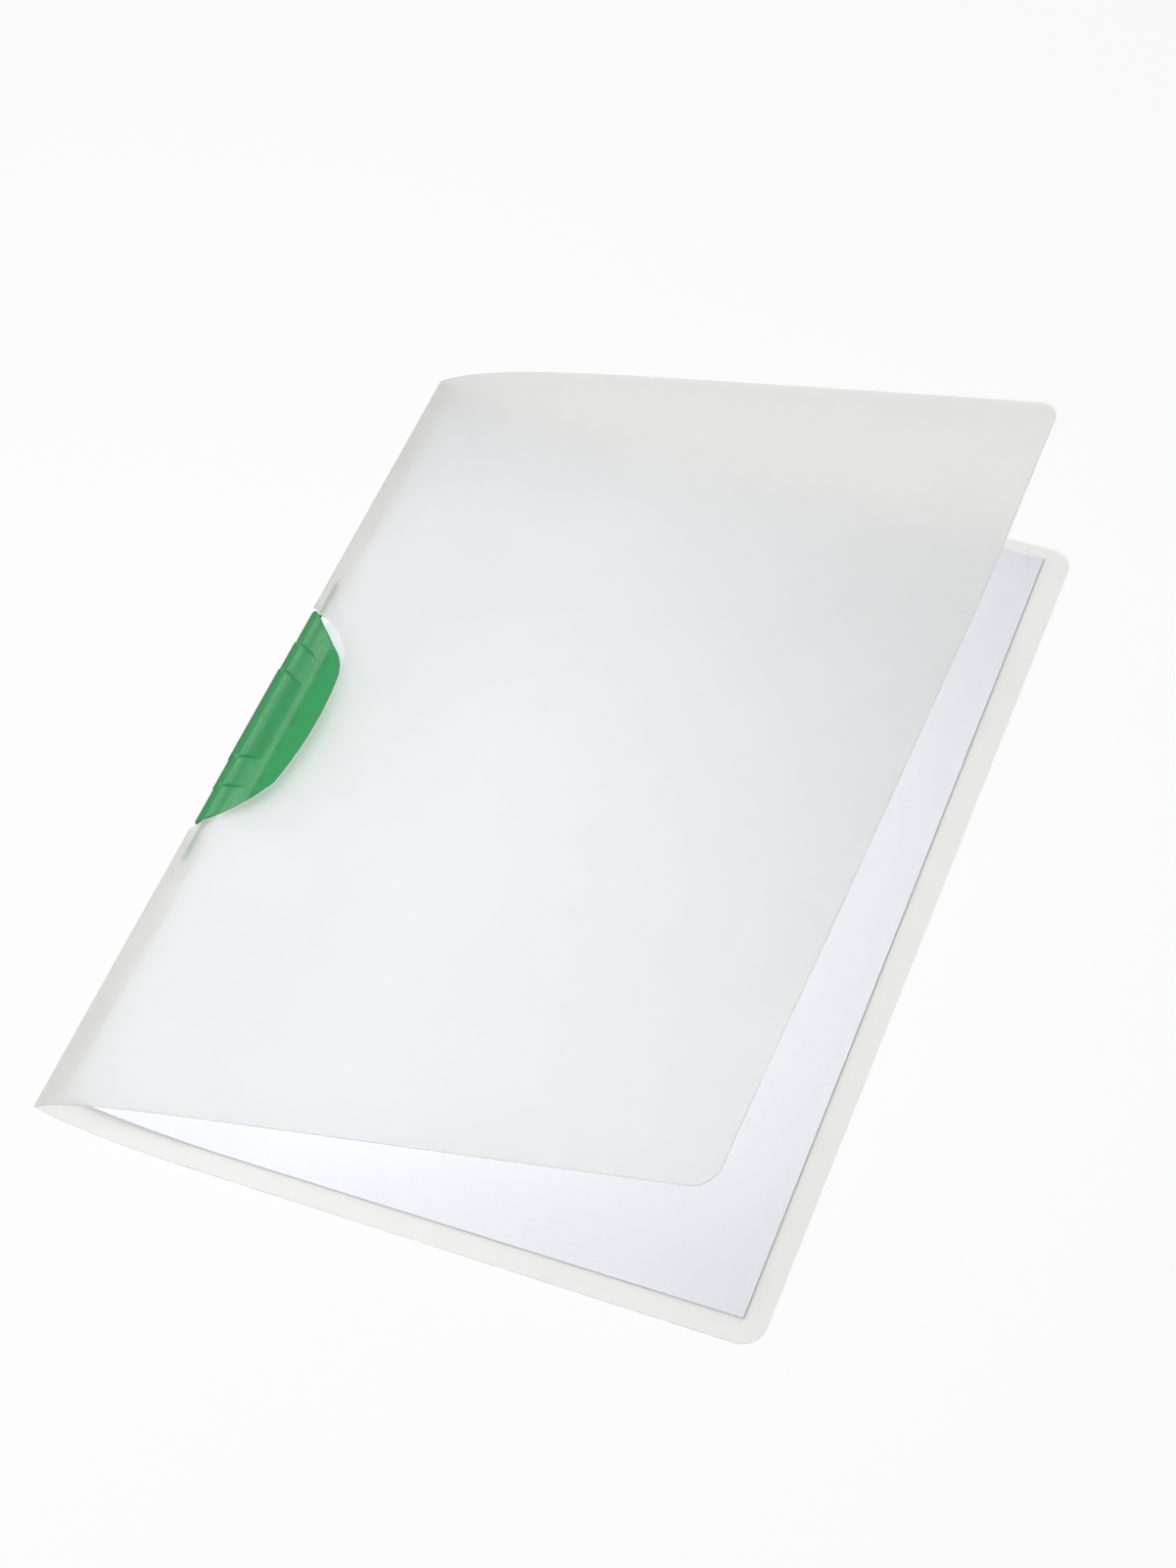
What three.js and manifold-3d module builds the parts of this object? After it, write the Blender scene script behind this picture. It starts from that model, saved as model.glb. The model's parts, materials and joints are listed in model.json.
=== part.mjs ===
// A4 clip folder: a frosted film cover folded once, a few sheets of paper on the back cover,
// and a moulded clip in the fold whose jaw swings out through a cut-out in the front cover.
// Millimetres and degrees. X runs from the fold to the free edges, Y along the fold, Z up.

import * as THREE from 'three';
import { mergeVertices } from 'three/addons/utils/BufferGeometryUtils.js';
import Module from 'manifold-3d';

const wasm = await Module();
wasm.setup();

// Film cover
const SHEET_WIDTH = 226;
const SHEET_LENGTH = 310;
const FILM = 0.4;
const CORNER_RADIUS = 7.4;
const FOLD_GAP = 0.8;

// Back cover: flat on the table, its strip next to the fold sprung up
const FOLD_RISE = 7.04;
const RISE_LENGTH = 60;

// Front cover: angle far from the fold at each end, and the fold's own kick, which dies away
const NEAR_ANGLE = 17.6;
const FAR_ANGLE = 13.6;
const KICK_ANGLE = 22.4;
const NEAR_RELAX = 14.8;
const FAR_RELAX = 23.7;

// The clip pins the fold shut along the middle, so the kick is short there
const HELD_RELAX = 3.2;
const HELD_LIFT = 1.25;
const HELD_HALF = 60;
const HELD_FADE = 90;

// Cut-out in the front cover, from its middle to the fold, with a square notch at the fold
const CUTOUT_REACH = 25.6;
const CUTOUT_CORNER = 22.4;
const CUTOUT_CORNER_HALF = 27.5;
const CUTOUT_FLANK = 4.2;
const CUTOUT_CLEARANCE = 1.8;
const CUTOUT_DROP = 2.6;
const CUTOUT_BEND = 3.2;
const NOTCH_START = 0.4;
const NOTCH_STEP = 2.4;
const NOTCH_SLANT = 0.5;
const SLOT_DEPTH = 7.4;
const SLOT_CHAMFER = 0.8;
const ROW_MARGIN = 2;

// Paper
const PAPER_WIDTH = 210;
const PAPER_LENGTH = 297;
const PAPER_STACK = 0.6;
const PAPER_TURN = 0.31;
const PAPER_RIGHT = 218.1;
const PAPER_BOTTOM = 7.7;
const PAPER_SETTLE = 40;

// Clip
const REST_GAP = 0.25;
const HINGE_X = 3.4;
const HINGE_DROP = 0.12;
const SHAFT_RADIUS = 1.4;
const SHAFT_SETBACK = 1.5;
const PIN_RADIUS = 0.6;
const PIN_LENGTH = 12.5;
const RUNNING_GAP = 0.3;
const BARREL_RADIUS = 3.4;
const BARREL_START = 10;
const BARREL_END = 200;
const JAW_HALF = 45;
const JAW_SHOULDER = 2.6;
const JAW_REACH = 22.6;
const JAW_CORNER = 17.4;
const JAW_CORNER_HALF = 30.4;
const JAW_ROUND = 4;
const JAW_WALL = 1.6;
const JAW_LEAVE = 80;
const JAW_CONTACT = 12.8;
const JAW_LIP = 1.45;
const JAW_LIP_RUN = 3.1;
const JAW_OVERRUN = 0.5;
const JAW_TURN = 1.1;
const BAND_STEP = 0.3;
const BAND_HALVES = [31.8, 19.7];
const BAND_SLOPE = 0.43;
const BAND_FULL = 0.25;
const BAND_FADE = 0.75;
const PLATE_THICKNESS = 1;
const PLATE_CLEARANCE = 0.3;
const PLATE_REACH = 19.5;
const PLATE_HALF = 38;
const PLATE_TIP_HALF = 24;
const PLATE_END_REACH = 3;
const WEB_THICKNESS = 1.2;
const STUD_RADIUS = 1.5;
const STUD_HEAD_RADIUS = 2.6;
const STUD_HEAD = 0.6;
const STUD_REACH = 15.5;
const STUD_HALF_PITCH = 20;
const STUD_CLEARANCE = 0.25;

const MID_Y = SHEET_LENGTH / 2;
const CUTOUT_HALF = JAW_HALF + CUTOUT_CLEARANCE;
const SHOULDER = CUTOUT_HALF - CUTOUT_DROP;
const BAR_FACETS = 24;
const rad = THREE.MathUtils.degToRad;

// Section curves. A section is a list of stations { s, x, z, angle } along the middle of the film.
function section(angleAt, length, startX, startZ) {
  const step = 0.5;
  const stations = [{ s: 0, x: startX, z: startZ, angle: angleAt(0) }];
  const count = Math.round(length / step);
  for (let i = 1; i <= count; i++) {
    const before = stations[i - 1];
    const middle = angleAt((i - 0.5) * (length / count));
    stations.push({
      s: i * (length / count),
      x: before.x + Math.cos(middle) * (length / count),
      z: before.z + Math.sin(middle) * (length / count),
      angle: angleAt(i * (length / count)),
    });
  }
  return stations;
}

// The point at distance s along a section, moved off the film's middle by offset
function onSection(stations, s, offset) {
  const place = (s / stations.at(-1).s) * (stations.length - 1);
  const index = Math.min(Math.max(Math.floor(place), 0), stations.length - 2);
  const share = place - index;
  const [a, b] = [stations[index], stations[index + 1]];
  const angle = a.angle + (b.angle - a.angle) * share;
  return {
    x: a.x + (b.x - a.x) * share - Math.sin(angle) * offset,
    z: a.z + (b.z - a.z) * share + Math.cos(angle) * offset,
  };
}

function backAngle(s) {
  const rest = Math.max(1 - s / RISE_LENGTH, 0);
  return -3 * (FOLD_RISE / RISE_LENGTH) * rest * rest;
}

// The back cover's free edge lies on the table, which sets the height of the fold
const drop = section(backAngle, SHEET_WIDTH, 0, 0).at(-1).z;
const FOLD_Z = FILM / 2 - drop;
const backSection = section(backAngle, SHEET_WIDTH, 0, FOLD_Z);
const BACK_REACH = backSection.at(-1).x;

// How firmly the clip holds the fold at y: 1 along the clip, 0 near the cover's ends
function heldAt(y) {
  const away = (Math.abs(y - MID_Y) - HELD_HALF) / HELD_FADE;
  return 1 - THREE.MathUtils.smoothstep(away, 0, 1);
}

function frontSection(y) {
  const along = y / SHEET_LENGTH;
  const held = heldAt(y);
  const angle = THREE.MathUtils.lerp(NEAR_ANGLE, FAR_ANGLE, along) + HELD_LIFT * held;
  const relax = THREE.MathUtils.lerp(THREE.MathUtils.lerp(NEAR_RELAX, FAR_RELAX, along), HELD_RELAX, held);
  return section((s) => rad(angle + KICK_ANGLE * Math.exp(-s / relax)), SHEET_WIDTH, 0, FOLD_Z);
}

// A closed sheet over a grid of rows. Each row is { y, start, end }, and place(s, row, side) gives
// the point at s on its lower (side 0) or upper (side 1) face.
function sheetGeometry(rows, columns, spread, place) {
  const width = columns + 1;
  const positions = [];
  for (const side of [0, 1]) {
    for (const row of rows) {
      for (let i = 0; i <= columns; i++) {
        const s = row.start + (row.end - row.start) * Math.pow(i / columns, spread);
        positions.push(...place(s, row, side));
      }
    }
  }
  const layer = rows.length * width;
  const index = [];
  const quad = (a, b, c, d) => index.push(a, b, c, a, c, d);
  for (let j = 0; j < rows.length - 1; j++) {
    for (let i = 0; i < columns; i++) {
      const a = j * width + i;
      quad(a, a + width, a + width + 1, a + 1);
      quad(layer + a, layer + a + 1, layer + a + width + 1, layer + a + width);
    }
    const first = j * width;
    const last = first + columns;
    quad(first, layer + first, layer + first + width, first + width);
    quad(last, last + width, layer + last + width, layer + last);
  }
  const top = (rows.length - 1) * width;
  for (let i = 0; i < columns; i++) {
    quad(i, i + 1, layer + i + 1, layer + i);
    quad(top + i, layer + top + i, layer + top + i + 1, top + i + 1);
  }
  const geometry = new THREE.BufferGeometry();
  geometry.setAttribute('position', new THREE.Float32BufferAttribute(positions, 3));
  geometry.setIndex(index);
  return geometry;
}

// Rows round the two free corners, and evenly between them where nothing else sets them
function coverRows(between, startAt) {
  const rows = [];
  const steps = 5;
  for (let i = 0; i <= steps; i++) {
    const turn = (i / steps) * (Math.PI / 2);
    const inset = CORNER_RADIUS * (1 - Math.cos(turn));
    const end = SHEET_WIDTH - CORNER_RADIUS * (1 - Math.sin(turn));
    rows.push({ y: inset, start: FOLD_GAP, end }, { y: SHEET_LENGTH - inset, start: FOLD_GAP, end });
  }
  const clear = MID_Y - CUTOUT_HALF - SLOT_CHAMFER - ROW_MARGIN;
  for (let i = 1; i <= between; i++) {
    const y = CORNER_RADIUS + ((clear - CORNER_RADIUS) * i) / between;
    rows.push({ y, start: FOLD_GAP, end: SHEET_WIDTH });
    rows.push({ y: SHEET_LENGTH - y, start: FOLD_GAP, end: SHEET_WIDTH });
  }
  for (const [start, half] of startAt) {
    rows.push({ y: MID_Y - half, start, end: SHEET_WIDTH });
    if (half > 0) rows.push({ y: MID_Y + half, start, end: SHEET_WIDTH });
  }
  return rows.sort((a, b) => a.y - b.y);
}

// Half of the cut-out's edge, as [distance from the fold, distance from the middle]
function cutoutEdge() {
  const edge = new THREE.Path();
  edge.moveTo(FOLD_GAP, CUTOUT_HALF + SLOT_CHAMFER);
  edge.lineTo(FOLD_GAP + NOTCH_START, CUTOUT_HALF);
  edge.lineTo(NOTCH_STEP, CUTOUT_HALF - NOTCH_SLANT);
  edge.lineTo(CUTOUT_FLANK, SHOULDER);
  const bend = new THREE.Vector2(CUTOUT_FLANK * CUTOUT_BEND, SHOULDER - CUTOUT_BEND);
  edge.quadraticCurveTo(bend.x, bend.y, CUTOUT_CORNER, CUTOUT_CORNER_HALF);
  edge.quadraticCurveTo(CUTOUT_REACH, CUTOUT_CORNER_HALF / 2, CUTOUT_REACH, 0);
  return edge.getPoints(5).map((point) => [point.x, Math.max(point.y, 0)]);
}

function frontCoverGeometry() {
  const rows = coverRows(6, cutoutEdge());
  for (const row of rows) row.section = frontSection(row.y);
  return sheetGeometry(rows, 18, 1.7, (s, row, side) => {
    const point = onSection(row.section, s, (side - 0.5) * FILM);
    return [point.x, row.y, point.z];
  });
}

// Manifold solids from three.js geometry and back
function solidOf(geometry) {
  const bare = geometry.clone();
  bare.deleteAttribute('normal');
  bare.deleteAttribute('uv');
  const merged = mergeVertices(bare, 1e-4);
  return new wasm.Manifold(new wasm.Mesh({
    numProp: 3,
    vertProperties: new Float32Array(merged.attributes.position.array),
    triVerts: new Uint32Array(merged.index.array),
  }));
}

function geometryOf(solid) {
  const mesh = solid.getMesh();
  const geometry = new THREE.BufferGeometry();
  geometry.setAttribute('position', new THREE.BufferAttribute(mesh.vertProperties, 3));
  geometry.setIndex(new THREE.BufferAttribute(mesh.triVerts, 1));
  return geometry;
}

// A section shape in X and Z, drawn out along Y on both sides of the middle of the fold
function alongFold(shape, half, curveSegments) {
  const geometry = new THREE.ExtrudeGeometry(shape, { depth: 2 * half, bevelEnabled: false, curveSegments });
  geometry.rotateX(Math.PI / 2);
  geometry.translate(0, MID_Y + half, 0);
  return solidOf(geometry);
}

// An outline in X and Y, drawn out upwards
function upright(points, low, high) {
  const shape = new THREE.Shape(points.map(([x, half]) => new THREE.Vector2(x, MID_Y + half)));
  const geometry = new THREE.ExtrudeGeometry(shape, { depth: high - low, bevelEnabled: false });
  geometry.translate(0, 0, low);
  return solidOf(geometry);
}

function ring(centre, outer, inner, from, to) {
  const shape = new THREE.Shape();
  shape.absarc(centre.x, centre.y, outer, rad(from), rad(to), false);
  shape.absarc(centre.x, centre.y, inner, rad(to), rad(from), true);
  shape.closePath();
  return shape;
}

function bar(radius, half) {
  const geometry = new THREE.CylinderGeometry(radius, radius, 2 * half, BAR_FACETS);
  geometry.translate(hinge.x, MID_Y, hinge.y);
  return solidOf(geometry);
}

// A round stud through the back cover, square to it
function stud(radius, low, high, y) {
  const station = backSection[Math.round((STUD_REACH / SHEET_WIDTH) * (backSection.length - 1))];
  const geometry = new THREE.CylinderGeometry(radius, radius, high - low, BAR_FACETS);
  geometry.rotateX(Math.PI / 2);
  geometry.translate(0, 0, (high + low) / 2);
  geometry.rotateY(-station.angle);
  geometry.translate(station.x, y, station.z);
  return solidOf(geometry);
}

const hinge = new THREE.Vector2(HINGE_X, FOLD_Z - HINGE_DROP);
const boreRadius = SHAFT_RADIUS + RUNNING_GAP;
const studPlaces = [MID_Y - STUD_HALF_PITCH, MID_Y + STUD_HALF_PITCH];

function backCoverGeometry() {
  const slot = [
    [FOLD_GAP, CUTOUT_HALF + SLOT_CHAMFER],
    [SLOT_DEPTH - SLOT_CHAMFER, CUTOUT_HALF],
    [SLOT_DEPTH, CUTOUT_HALF - SLOT_CHAMFER],
  ];
  const geometry = sheetGeometry(coverRows(1, slot), 14, 1.9, (s, row, side) => {
    const point = onSection(backSection, s, (side - 0.5) * FILM);
    return [point.x, row.y, point.z];
  });
  const holes = studPlaces.map((y) => stud(STUD_RADIUS + STUD_CLEARANCE, -2, 2, y));
  return geometryOf(holes.reduce((cover, hole) => cover.subtract(hole), solidOf(geometry)));
}

// Height of the back cover's upper face at x
function backTop(x) {
  const s = (x / BACK_REACH) * SHEET_WIDTH;
  return onSection(backSection, s, FILM / 2).z;
}

// The paper lies over the clip's plate next to the fold, and settles onto the film beyond it
function paperUnderside(x) {
  const lifted = 1 - THREE.MathUtils.smoothstep(x, PLATE_REACH + 1, PLATE_REACH + 1 + PAPER_SETTLE);
  return backTop(x) + REST_GAP + (PLATE_THICKNESS + REST_GAP) * lifted;
}

function paperGeometry() {
  const turn = rad(PAPER_TURN);
  const shares = [0, 0.25, 0.5, 0.75, 1];
  const rows = shares.map((share) => ({ y: share * PAPER_LENGTH, start: 0, end: PAPER_WIDTH }));
  return sheetGeometry(rows, 14, 1.6, (s, row, side) => {
    const across = s - PAPER_WIDTH;
    const x = PAPER_RIGHT + across * Math.cos(turn) - row.y * Math.sin(turn);
    const y = PAPER_BOTTOM + across * Math.sin(turn) + row.y * Math.cos(turn);
    return [x, y, paperUnderside(x) + side * PAPER_STACK];
  });
}

// The fixed half of the clip: shaft, end pins in the fold, web and the plate under the paper
function clipBaseGeometry() {
  const reachStart = SLOT_DEPTH + PLATE_CLEARANCE;
  const plateRows = [-1, -0.8, -0.4, 0, 0.4, 0.8, 1].map((share) => {
    const tip = PLATE_TIP_HALF / PLATE_HALF;
    const beyond = Math.max(Math.abs(share) - tip, 0) / (1 - tip);
    const cutBack = (PLATE_REACH - reachStart - PLATE_END_REACH) * beyond;
    return { y: MID_Y + share * PLATE_HALF, start: reachStart, end: PLATE_REACH - cutBack };
  });
  const low = FILM / 2 + REST_GAP;
  const plate = solidOf(sheetGeometry(plateRows, 6, 1, (s, row, side) => {
    const point = onSection(backSection, s, low + side * PLATE_THICKNESS);
    return [point.x, row.y, point.z];
  }));
  const edge = onSection(backSection, reachStart + 1, low + PLATE_THICKNESS / 2);
  const root = hinge.clone();
  const along = new THREE.Vector2(edge.x - root.x, edge.z - root.y);
  const side = new THREE.Vector2(-along.y, along.x).setLength(WEB_THICKNESS / 2);
  const web = new THREE.Shape([
    root.clone().add(side),
    root.clone().sub(side),
    root.clone().add(along).sub(side),
    root.clone().add(along).add(side),
  ].reverse());
  let base = bar(SHAFT_RADIUS, JAW_HALF - SHAFT_SETBACK);
  base = base.add(bar(PIN_RADIUS, CUTOUT_HALF + PIN_LENGTH));
  base = base.add(alongFold(web, PLATE_HALF, 1)).add(plate);
  for (const y of studPlaces) {
    base = base.add(stud(STUD_RADIUS, -FILM / 2 - REST_GAP - STUD_HEAD, low + PLATE_THICKNESS / 2, y));
    base = base.add(stud(STUD_HEAD_RADIUS, -FILM / 2 - REST_GAP - STUD_HEAD, -FILM / 2 - REST_GAP, y));
  }
  return geometryOf(base);
}

// The jaw's section: a barrel open at the bottom, and an arched wall that dips to the paper and
// rises again to a lip. raise is how far its bands stand proud of the end bands.
function jawSection(raise) {
  const proud = raise - BAND_HALVES.length * BAND_STEP;
  const contactZ = paperUnderside(JAW_CONTACT) + PAPER_STACK + REST_GAP + JAW_WALL / 2;
  const start = new THREE.Vector2(
    hinge.x + (BARREL_RADIUS - JAW_WALL / 2) * Math.cos(rad(JAW_LEAVE)),
    hinge.y + (BARREL_RADIUS - JAW_WALL / 2) * Math.sin(rad(JAW_LEAVE)),
  );
  const contact = new THREE.Vector2(JAW_CONTACT, contactZ);
  const ease = BARREL_RADIUS;
  const fall = new THREE.CubicBezierCurve(
    start,
    new THREE.Vector2(start.x + ease, start.y - ease * Math.tan(rad(90 - JAW_LEAVE))),
    new THREE.Vector2(JAW_CONTACT - 2 * JAW_WALL, contactZ + JAW_WALL / 16),
    contact,
  );
  const lip = new THREE.CubicBezierCurve(
    contact,
    new THREE.Vector2(JAW_CONTACT + 1.75 * JAW_WALL, contactZ - JAW_WALL / 32),
    new THREE.Vector2(JAW_REACH - JAW_LIP_RUN, contactZ + JAW_LIP * 0.38),
    new THREE.Vector2(JAW_REACH + JAW_OVERRUN, contactZ + JAW_LIP),
  );
  const upper = [];
  const lower = [];
  const follow = (curve, from, count, proudAt) => {
    for (let i = from; i <= count; i++) {
      const t = i / count;
      const point = curve.getPoint(t);
      const tangent = curve.getTangent(t);
      const normal = new THREE.Vector2(-tangent.y, tangent.x);
      upper.push(point.clone().addScaledVector(normal, JAW_WALL / 2 + proudAt(t)));
      lower.push(point.clone().addScaledVector(normal, -JAW_WALL / 2));
    }
  };
  follow(fall, 0, 8, (t) => proud * (1 - THREE.MathUtils.smoothstep(t, BAND_FULL, BAND_FADE)));
  follow(lip, 1, 6, () => 0);
  const wall = new THREE.Shape([...upper, ...lower.reverse()].reverse());
  return { wall, barrel: ring(hinge, BARREL_RADIUS + proud, boreRadius, BARREL_START, BARREL_END) };
}

function jawBody(raise) {
  const { wall, barrel } = jawSection(raise);
  const bore = solidOf(new THREE.CylinderGeometry(boreRadius, boreRadius, 2 * JAW_HALF + 2, BAR_FACETS)
    .translate(hinge.x, MID_Y, hinge.y));
  return alongFold(wall, JAW_HALF, 1).subtract(bore).add(alongFold(barrel, JAW_HALF, 12));
}

// Half-moon outline of the jaw, mirrored about the middle of the fold
function jawOutline() {
  const half = new THREE.Path();
  const flank = new THREE.Vector2(JAW_CORNER - JAW_SHOULDER, JAW_CORNER_HALF - JAW_HALF).setLength(JAW_ROUND);
  half.moveTo(-HINGE_X, JAW_HALF);
  half.lineTo(JAW_SHOULDER, JAW_HALF);
  half.lineTo(JAW_CORNER - flank.x, JAW_CORNER_HALF - flank.y);
  half.quadraticCurveTo(JAW_CORNER, JAW_CORNER_HALF, JAW_CORNER + JAW_TURN, JAW_CORNER_HALF - JAW_ROUND);
  half.quadraticCurveTo(JAW_REACH, (JAW_CORNER_HALF - JAW_ROUND) / 2, JAW_REACH, 0);
  const points = half.getPoints(8).map((point) => [point.x, point.y]);
  const mirrored = points.slice(0, -1).reverse().map(([x, away]) => [x, -away]);
  return [...points, ...mirrored].reverse();
}

function clipJawGeometry() {
  const low = 0;
  const high = 3 * hinge.y;
  let jaw = jawBody(0);
  BAND_HALVES.forEach((half, index) => {
    const far = JAW_REACH;
    const near = -HINGE_X;
    const band = [
      [near, -(half - BAND_SLOPE * near)],
      [far, -(half - BAND_SLOPE * far)],
      [far, half - BAND_SLOPE * far],
      [near, half - BAND_SLOPE * near],
    ];
    jaw = jaw.add(jawBody((index + 1) * BAND_STEP).intersect(upright(band, low, high)));
  });
  return geometryOf(jaw.intersect(upright(jawOutline(), low, high)));
}

// Materials
const film = new THREE.MeshStandardMaterial({ color: '#e6e8e4', roughness: 0.45, metalness: 0 });
const paper = new THREE.MeshStandardMaterial({ color: '#f2f4fa', roughness: 0.9, metalness: 0 });
const greenPlastic = new THREE.MeshStandardMaterial({ color: '#3d9f61', roughness: 0.4, metalness: 0 });

function piece(name, geometry, material) {
  const mesh = new THREE.Mesh(geometry, material);
  mesh.name = name;
  return mesh;
}

const folder = new THREE.Group();
folder.add(
  piece('back_cover', backCoverGeometry(), film),
  piece('front_cover', frontCoverGeometry(), film),
  piece('paper_sheets', paperGeometry(), paper),
  piece('clip_base', clipBaseGeometry(), greenPlastic),
  piece('clip_jaw', clipJawGeometry(), greenPlastic),
);
folder.position.set(-BACK_REACH / 2, -MID_Y, 0);

const model = new THREE.Group();
model.add(folder);
export default model;
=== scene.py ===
import json
import math

import bmesh
import bpy
import numpy as np
from bpy.props import FloatProperty, FloatVectorProperty, IntProperty, PointerProperty
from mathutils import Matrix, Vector


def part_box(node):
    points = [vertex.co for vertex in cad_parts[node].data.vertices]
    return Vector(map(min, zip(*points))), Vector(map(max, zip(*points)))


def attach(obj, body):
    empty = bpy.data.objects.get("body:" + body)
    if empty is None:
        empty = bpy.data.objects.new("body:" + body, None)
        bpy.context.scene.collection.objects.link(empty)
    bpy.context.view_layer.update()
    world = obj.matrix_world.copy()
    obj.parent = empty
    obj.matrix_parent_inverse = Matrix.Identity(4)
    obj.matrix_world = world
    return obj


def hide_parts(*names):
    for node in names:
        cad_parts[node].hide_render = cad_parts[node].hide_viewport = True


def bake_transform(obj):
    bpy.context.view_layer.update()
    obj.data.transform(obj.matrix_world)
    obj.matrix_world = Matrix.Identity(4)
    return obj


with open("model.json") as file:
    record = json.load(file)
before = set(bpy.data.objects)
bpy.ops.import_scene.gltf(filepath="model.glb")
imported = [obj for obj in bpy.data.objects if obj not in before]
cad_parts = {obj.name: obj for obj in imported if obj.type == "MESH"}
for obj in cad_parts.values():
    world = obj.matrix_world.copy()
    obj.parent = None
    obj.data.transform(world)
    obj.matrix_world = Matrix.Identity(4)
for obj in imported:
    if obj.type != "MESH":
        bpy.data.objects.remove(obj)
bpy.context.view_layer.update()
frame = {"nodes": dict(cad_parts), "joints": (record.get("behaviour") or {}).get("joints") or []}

bl_info = {
    "name": "Clip Folder",
    "version": (1, 0, 0),
    "blender": (4, 5, 0),
    "location": "View3D > Sidebar > Clip Folder",
    "description": "A4 clip folder: frosted film cover, paper sheets and a moulded swing clip",
    "category": "Add Mesh",
}

MM = 0.001

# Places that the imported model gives
JOINTS = {joint["name"]: joint for joint in frame["joints"]}
FOLD = Vector(JOINTS["front_cover_fold"]["pos_m"])
PIN = Vector(JOINTS["clip_swing"]["pos_m"])
NEAR_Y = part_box("back_cover")[0][1]
FAR_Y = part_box("back_cover")[1][1]
SHEET_LENGTH = FAR_Y - NEAR_Y

# Film cover, in metres and degrees. Each half is a curve that leaves the fold at a slope.
SHEET_WIDTH = 226 * MM
CORNER_RADIUS = 7.4 * MM
FOLD_GAP = 0.8 * MM
FOLD_BULGE = 0.2 * MM
FOLD_RISE = 7.04 * MM
RISE_LENGTH = 60 * MM
NEAR_ANGLE = 17.6
FAR_ANGLE = 13.6
KICK_ANGLE = 22.4
NEAR_RELAX = 14.8 * MM
FAR_RELAX = 23.7 * MM
CURVE_STEP = 0.5 * MM

# The clip pins the fold shut along the middle
HELD_RELAX = 3.2 * MM
HELD_LIFT = 1.25
HELD_HALF = 60 * MM
HELD_FADE = 90 * MM

# Clip jaw: its barrel round the shaft, its half-moon wall and the wall's two raised steps
BARREL_RADIUS = 3.4 * MM
BORE_RADIUS = 1.7 * MM
BARREL_START = 10
BARREL_LEAVE = 80
BARREL_END = 200
JAW_WALL = 1.6 * MM
JAW_HALF = 45 * MM
JAW_REACH = 22.6 * MM
JAW_SHOULDER = 2.6 * MM
JAW_OVERRUN = 0.5 * MM
JAW_CORNER = 17.4 * MM
JAW_CORNER_HALF = 30.4 * MM
JAW_ROUND = 4.0 * MM
JAW_TURN = 1.1 * MM
JAW_TIP_HALF = 0.2 * MM
JAW_CONTACT = 12.8 * MM
JAW_LIP = 1.45 * MM
JAW_LIP_RUN = 3.1 * MM
JAW_LIP_SAG = 0.38
BAND_STEP = 0.3 * MM
BAND_HALVES = (31.8 * MM, 19.7 * MM)
BAND_SLOPE = 0.43
BAND_STRAIGHT = 12 * MM
BAND_EDGE = 0.12 * MM
BAND_FULL = 0.25
BAND_FADE = 0.75

# Handles of the jaw's curve where it leaves the barrel, comes to the paper and goes on to the lip
LEAVE_RUN = 3.4 * MM
CONTACT_BEFORE = np.array([-3.2 * MM, 0.1 * MM])
CONTACT_AFTER = np.array([2.8 * MM, -0.05 * MM])

# Window that the clip swings through, by distance from the fold and from the middle
WINDOW_HALF = JAW_HALF + 1.8 * MM
WINDOW_FLARE = 0.8 * MM
WINDOW_REACH = 25.6 * MM
WINDOW_SHOULDER = (4.2 * MM, WINDOW_HALF - 2.6 * MM)
WINDOW_BEND = (13.44 * MM, WINDOW_SHOULDER[1] - 3.2 * MM)
WINDOW_CORNER = (22.4 * MM, 27.5 * MM)
NOTCH_START = 0.4 * MM
NOTCH_STEP = 2.4 * MM
NOTCH_SLANT = 0.5 * MM

# Slot in the back half that the clip stands in
SLOT_DEPTH = 7.4 * MM
SLOT_CHAMFER = 0.8 * MM

# Paper, over the plate of the clip's base
PAPER_WIDTH = 210 * MM
PAPER_LENGTH = 297 * MM
PAPER_STACK = 0.6 * MM
PAPER_TURN = math.radians(0.31)
PAPER_RIGHT = 218.1 * MM
PAPER_BOTTOM = 7.7 * MM
PAPER_LIFT_END = 20.5 * MM
PAPER_SETTLE = 40 * MM
SHEET_SHIFT = 0.12 * MM
SHEET_SHARE = 0.85
REST_GAP = 0.25 * MM
PLATE_THICKNESS = 1.0 * MM

# Slack when two places are compared
SLACK = 0.001 * MM

# Painted shade in darker patches where the jaw presses on the paper: its half width, its fade and its
# patches
CONTACT_SHADE_HALF = 0.8 * MM
CONTACT_SHADE_FADE = 2.0 * MM
CONTACT_SHADE_PATCH = 7 * MM

# Cloudiness of the film and fibres of the paper
CLOUD_SIZE = 12 * MM
FIBRE_SIZE = 0.9 * MM

# Light of the surroundings on the folder, beside the white that the camera sees
AMBIENT = 0.24

# The floor lies a hair under the film, glows white to the camera and shades like pale board
FLOOR_GAP = 0.1 * MM
FLOOR_GLOW = 0.9
FLOOR_SHADE = 0.8

# Soft boxes: name, place, aim, side and power
SOFT_BOXES = (
    ("key_softbox", (-0.33, -0.30, 0.70), (-0.05, -0.02, 0), 0.40, 4.05),
    ("left_softbox", (-0.10, 0.02, 0.27), (-0.05, 0, 0), 0.16, 0.13),
    ("back_softbox", (-0.10, 0.62, 0.90), (FOLD.x, 0, 0), 0.22, 1.2),
)

# Camera that gives the photograph's view
CAMERA_PLACE = (0.27242, -0.58730, 0.86334)
CAMERA_TURN = (0.65313, 0.04619, 0.37049)
CAMERA_LENS = 79.52
CAMERA_SENSOR = 36.0


def linear(colour):
    """Linear red, green and blue of an sRGB hex colour such as #3d9f61."""
    shares = [int(colour[i:i + 2], 16) / 255 for i in (1, 3, 5)]
    return tuple(s / 12.92 if s <= 0.04045 else ((s + 0.055) / 1.055) ** 2.4 for s in shares)


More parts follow.
